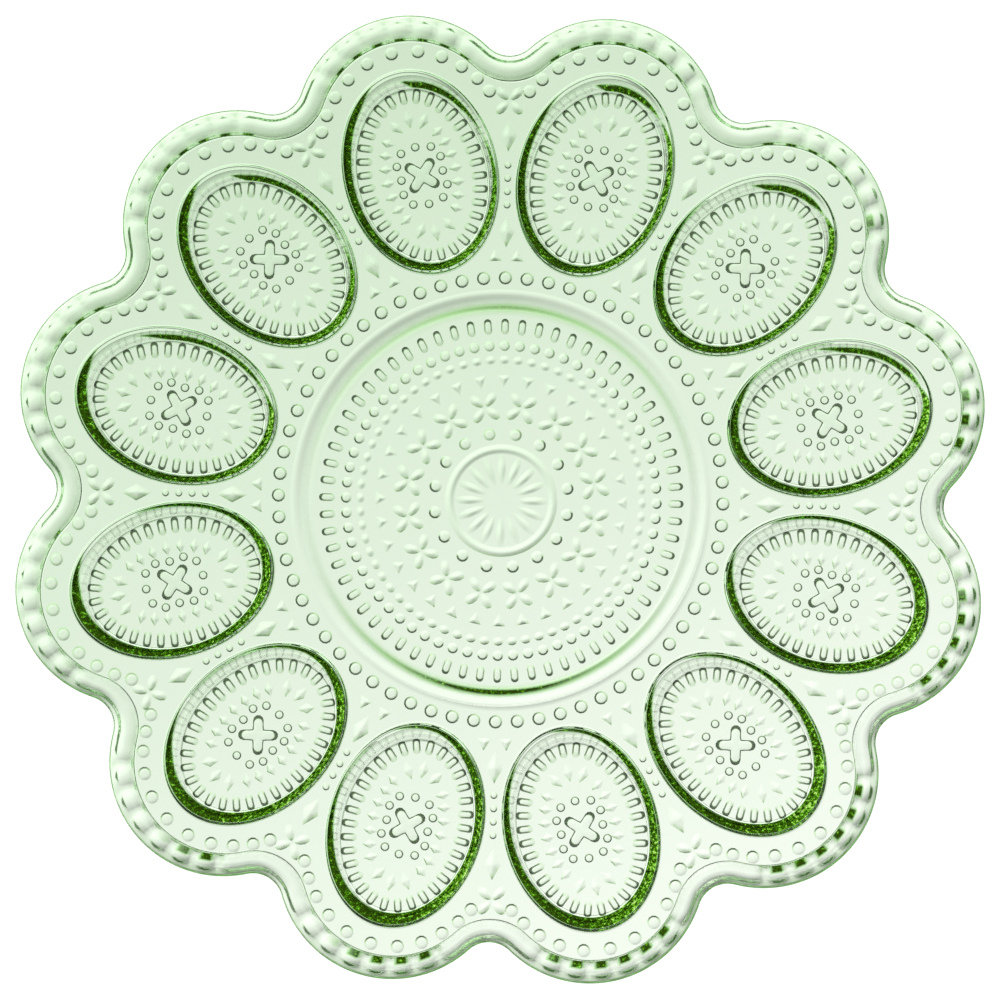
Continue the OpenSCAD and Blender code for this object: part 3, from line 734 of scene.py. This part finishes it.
triangle_ring = ring_places(2 * RAY_COUNT, TRIANGLE_RING_R, WELL_UNDER_Z, 0, math.pi)
near = np.clip(-triangle_ring[:, 1:2] / TRIANGLE_RING_R, 0, 1)
relief_piece("well_triangles", (triangle, triangle_ring, LOW * near, -0.4, 1.4))
LENS_RING_R = 45.5
lens_bead = motif(oval(3.5, 2.8, 10), soft(0.44))
lens_ring = ring_places(RING_COUNT, LENS_RING_R, WELL_UNDER_Z)
near = np.clip(-lens_ring[:, 1:2] / LENS_RING_R + 0.1, 0, 1)
relief_piece("well_lens_beads", (lens_bead, lens_ring, LOW * near, -0.4, 1.5))
well_bead = motif(oval(3.5, 3.5, 12), plate(0.3, 0.62))
bead_ring = ring_places(RING_COUNT, 50.1, WELL_UNDER_Z)
relief_piece("well_beads", (well_bead, bead_ring, 0.6 * radial_of(bead_ring) + 0.7 * LOW, 0.35, 1.3))
well_dash = motif(bar(2.5, 5.2, 6), plate(0.2, 0.58))
dash_ring = ring_places(RING_COUNT, 56.3, WELL_UNDER_Z)
relief_piece("well_dashes", (well_dash, dash_ring, radial_of(dash_ring), 0.75, 0.6))

# Relief of the deck; its motifs carry painted shade on their flanks
deck_bead = motif(oval(4.4, 4.4, 12), plate(0.3, 0.68))
deck_ring = ring_places(RING_COUNT, 71.6, DECK_UNDER_Z)
relief_piece("deck_beads", (deck_bead, deck_ring, np.array([-0.7, -0.7]), 0.95, 0.45))
j = np.arange(-5, 6)
bead_a = np.radians(12.95 * j - 0.42 * j * np.abs(j))
bead_r = 1 / np.hypot(np.cos(bead_a) / 39.45, np.sin(bead_a) / 32.4)
rim_bead_local = np.stack([bead_r * np.sin(bead_a), bead_r * np.cos(bead_a), 0 * bead_a], 1)
rim_ring = cup_places(rim_bead_local, DECK_UNDER_Z)
far = np.interp(rim_ring[:, 1:2], [-100, 20, 90], [-0.6, 0.4, 1])
relief_piece("rim_beads", (deck_bead, rim_ring, LOW * far, 0.35, 1.2))
floret_ring = ring_places(CUP_COUNT, 129.0, DECK_UNDER_Z)
relief_piece("deck_florets", (petal, floret_places(floret_ring, PETAL_APART), LOW, -0.35, 1.2))
rhomb = motif(sided([[0, 5], [-2.7, 0], [0, -5], [2.7, 0]], 3), soft(0.6))
rhomb_ring = np.concatenate([ring_places(CUP_COUNT, r, DECK_UNDER_Z) for r in (117.5, 86.5)])
relief_piece("deck_lozenges", (rhomb, rhomb_ring, LOW, -0.4, 1.2))
dot = motif(oval(2.4, 2.4, 10), plate(0.18, 0.56))
dot_ring = np.concatenate([ring_places(CUP_COUNT, r, DECK_UNDER_Z) for r in (108.1, 103.8, 99.5, 95.2)])
relief_piece("deck_dots", (dot, dot_ring, LOW, 0.65, 0.5))
PAIR_TURN = math.radians(2.6)
pair_ring = np.concatenate([ring_places(CUP_COUNT, 78.4, DECK_UNDER_Z, turn)
                            for turn in (-PAIR_TURN, PAIR_TURN)])
relief_piece("deck_triangles", (triangle, pair_ring, LOW, -0.35, 1.2))

# Relief of the cup floors; its motifs carry painted shade on their flanks, all round on the beads and the
# cross
DASH_OVAL = (26.4, 18.3)
LOZENGE_OVAL = (18.9, 11.3)
cup_dash = motif(bar(2.5, 5.5, 6), plate(0.2, 0.48))
cup_dash_ring = cup_places(oval_points(*DASH_OVAL, even_on_oval(*DASH_OVAL, 32)), CUP_UNDER_Z)
relief_piece("cup_dashes", (cup_dash, cup_dash_ring, outward_of(cup_dash_ring), 0.9, 0.8))
end_t = np.radians([0, 24, -24, 180, 156, 204])
side_t = np.radians(np.concatenate([middle + 14.2 * np.arange(-3, 4) for middle in (90, 270)]))
end_places = cup_places(oval_points(*LOZENGE_OVAL, end_t), CUP_UNDER_Z)
side_places = cup_places(oval_points(*LOZENGE_OVAL, side_t), CUP_UNDER_Z)
long_rhomb = motif(sided([[0, 3.1], [-1.7, 0], [0, -3.1], [1.7, 0]], 3), soft(0.32))
short_rhomb = motif(sided([[0, 2.5], [-1.5, 0], [0, -2.5], [1.5, 0]], 3), soft(0.32))
relief_piece("cup_lozenges", (long_rhomb, end_places, LOW, -0.4, 1.1),
             (short_rhomb, side_places, np.array([-0.75, -0.65]), -0.5, 1.3))
quarter = ((0, 9.5), (5, 8.5), (7.3, 4.7), (6.9, 0))
bead_local = sorted({(sx * x, sy * y, 0) for x, y in quarter for sx in (-1, 1) for sy in (-1, 1)})
cup_bead = motif(oval(2.9, 2.9, 12), plate(0.16, 0.64))
relief_piece("cup_beads", (cup_bead, cup_places(bead_local, CUP_UNDER_Z), LOW, 1.0, 0.2))
cross = motif(cross_outline(3.4, 6.5, 6), plate(0.22, 0.78))
relief_piece("cup_crosses", (cross, cup_places([(0, 0, 0)], CUP_UNDER_Z), LOW, 1.0, 0))

# Camera: almost straight above, with the platter turned a little in the frame; pixels of a square frame
FRAME = 1000
SENSOR = 36
PIXEL = 0.32055
FAR = 2500.0
TILT = math.radians(4.0)
SIDE = math.radians(146)
ROLL = math.radians(1.28)
SHIFT = (0.75, -2.4)
back = Vector((math.sin(SIDE) * math.sin(TILT), math.cos(SIDE) * math.sin(TILT), math.cos(TILT)))
place = Vector((0, 0, (RIM_TOP_Z - 1) * MM)) + back * FAR * MM
right = Vector((-math.sin(ROLL), math.cos(ROLL), 0)).cross(back).normalized()
upward = back.cross(right)
camera_data = bpy.data.cameras.new("camera")
camera = bpy.data.objects.new("camera", camera_data)
camera.matrix_world = Matrix(((right.x, upward.x, back.x, place.x), (right.y, upward.y, back.y, place.y),
                              (right.z, upward.z, back.z, place.z), (0, 0, 0, 1)))
camera_data.sensor_width = SENSOR
camera_data.lens = SENSOR * FAR / (FRAME * PIXEL)
camera_data.shift_x = SHIFT[0] / FRAME
camera_data.shift_y = SHIFT[1] / FRAME
camera_data.clip_end = 20
bpy.context.collection.objects.link(camera)
bpy.context.scene.camera = camera

# Floor: pale, keeps the shadow, and lets the glass look at the soft light below
FLOOR_HALF = 3
FLOOR_Z = -0.0002
corners = [(x * FLOOR_HALF, y * FLOOR_HALF, FLOOR_Z) for x, y in ((-1, -1), (1, -1), (1, 1), (-1, 1))]
floor_mesh = bpy.data.meshes.new("floor")
floor_mesh.from_pydata(corners, [], [(0, 1, 2, 3)])
floor = bpy.data.objects.new("floor", floor_mesh)
bpy.context.collection.objects.link(floor)
floor_material = bpy.data.materials.new("floor")
tree = fresh_tree(floor_material)
link = tree.links.new
matte = add(tree, "ShaderNodeBsdfDiffuse", Color=(0.3, 0.3, 0.3, 1))
shine = add(tree, "ShaderNodeEmission", Color=(1, 1, 1, 1), Strength=0.8)
both = add(tree, "ShaderNodeAddShader")
link(matte.outputs[0], both.inputs[0])
link(shine.outputs[0], both.inputs[1])
clear = add(tree, "ShaderNodeBsdfTransparent")
path = add(tree, "ShaderNodeLightPath")
surface = shader_mix(tree, path.outputs["Is Transmission Ray"], both.outputs[0], clear.outputs[0])
link(surface, add(tree, "ShaderNodeOutputMaterial").inputs["Surface"])
floor_mesh.materials.append(floor_material)

# World: white to the camera; the glass sees a soft light that falls off to one side
PEAK = 1.3
LEVELS = [(0.0, 1.0), (0.08, 1.0), (0.16, 0.75), (0.22, 0.3), (0.27, 0.14), (0.325, 0.3), (0.4, 0.7),
          (0.45, 0.92), (0.47, 0.96), (0.5, 1.08), (0.53, 1.18), (0.57, 1.26), (0.65, 1.3), (1.0, 1.0)]
world = bpy.data.worlds.new("studio")
bpy.context.scene.world = world
tree = fresh_tree(world)
link = tree.links.new
coords = add(tree, "ShaderNodeTexCoord").outputs["Generated"]
along = operate(tree, "ShaderNodeVectorMath", "DOT_PRODUCT", coords, (SUNNY[0], SUNNY[1], 0))
ramp = add(tree, "ShaderNodeValToRGB")
set_ramp(ramp, [(position, (level / PEAK,) * 3) for position, level in LEVELS])
link(map_range(tree, along.outputs["Value"], -1.0, 1.0), ramp.inputs["Fac"])
below = add(tree, "ShaderNodeBackground", Strength=PEAK)
link(ramp.outputs["Color"], below.inputs["Color"])
above = add(tree, "ShaderNodeBackground", Color=(1, 1, 1, 1), Strength=0.95)
split = add(tree, "ShaderNodeSeparateXYZ")
link(coords, split.inputs[0])
height = map_range(tree, split.outputs["Z"], -0.15, 0.15)
sky = shader_mix(tree, height, below.outputs[0], above.outputs[0])
white = add(tree, "ShaderNodeBackground", Color=(1, 1, 1, 1), Strength=1.0)
path = add(tree, "ShaderNodeLightPath")
surface = shader_mix(tree, path.outputs["Is Camera Ray"], sky, white.outputs[0])
link(surface, add(tree, "ShaderNodeOutputWorld").inputs["Surface"])

# Soft key lamp, which the glass doesn't see directly
lamp_data = bpy.data.lights.new("key", "AREA")
lamp_data.energy = 14
lamp_data.size = 1.2
lamp = bpy.data.objects.new("key", lamp_data)
lamp.location = (-0.5, 0.9, 1.4)
lamp.rotation_euler = (-Vector(lamp.location)).to_track_quat("-Z", "Y").to_euler()
lamp.visible_transmission = False
bpy.context.collection.objects.link(lamp)

scene = bpy.context.scene
scene.view_settings.view_transform = "Standard"
scene.cycles.max_bounces = 24
scene.cycles.transmission_bounces = 24
scene.cycles.transparent_max_bounces = 32
